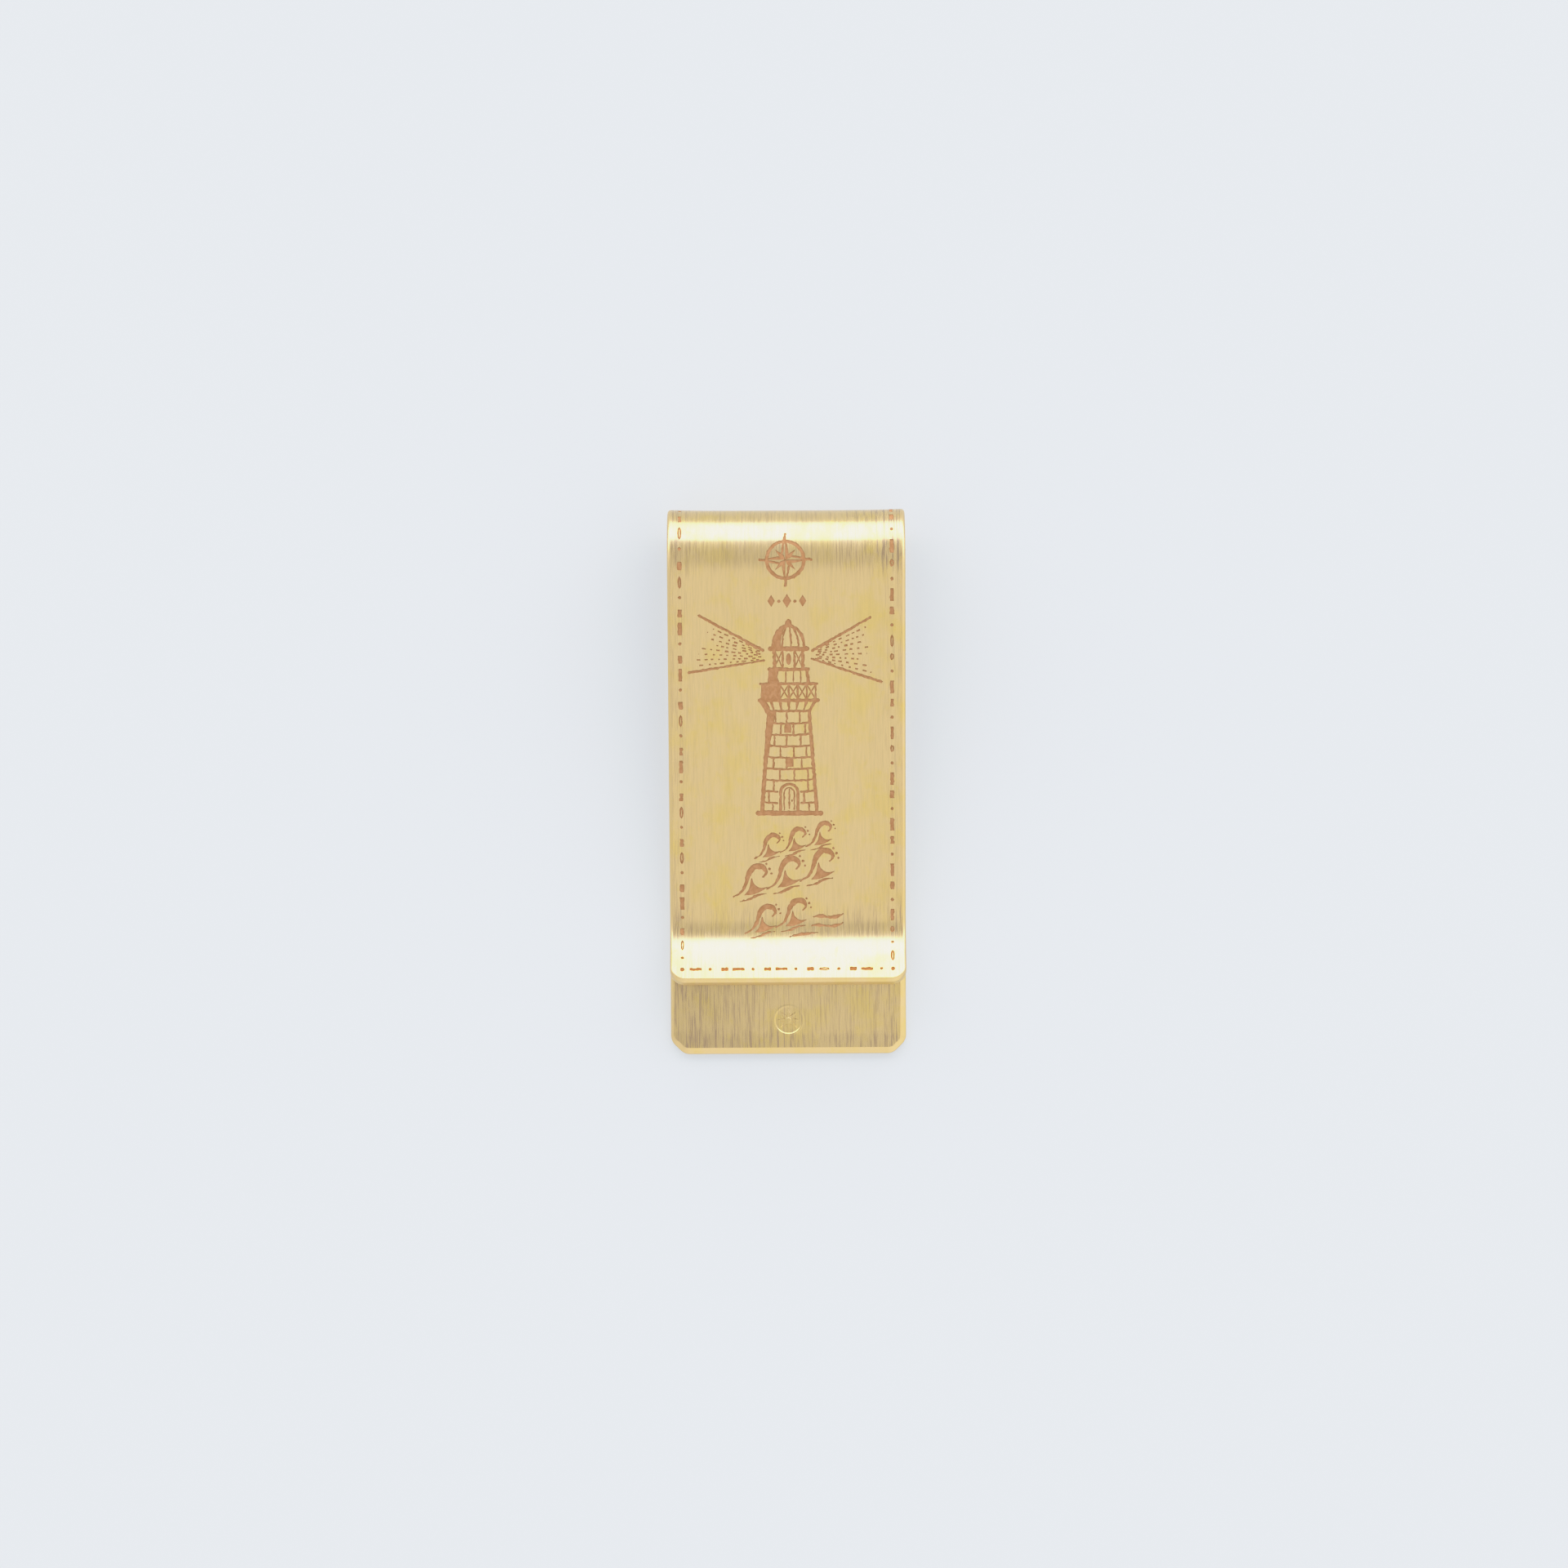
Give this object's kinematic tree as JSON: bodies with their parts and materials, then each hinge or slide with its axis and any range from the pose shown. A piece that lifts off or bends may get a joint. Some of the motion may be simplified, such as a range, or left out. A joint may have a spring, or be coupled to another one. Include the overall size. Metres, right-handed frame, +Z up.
{
  "type": "money clip",
  "caption": "Spring money clip: a bent brass strip whose sloping front leaf nips folded notes against a flat back leaf, with a turned-up lip at the mouth.",
  "frame": {"origin": "middle of the flat outer face of the back leaf, below the middle of the clip's bounding box", "axes": "+X across the strip, +Y along it towards the closed bend, +Z up out of the face the clip rests on"},
  "size_m": [0.025, 0.0576, 0.0094],
  "materials": {
    "brass": "satin, brushed along the strip"
  },
  "bodies": {
    "back": {"back_leaf": "brass", "bend_lower": "brass"},
    "front": {"bend_upper": "brass", "shoulder": "brass", "front_leaf": "brass", "nip": "brass", "lip": "brass"}
  },
  "joints": [
    {"name": "spring_open", "type": "hinge", "parent": "back", "child": "front", "pos_m": [0, 0.02877, 0.00404], "axis": [-1, 0, 0], "range_deg": [0, 8], "stiffness_Nm_per_rad": 9}
  ]
}
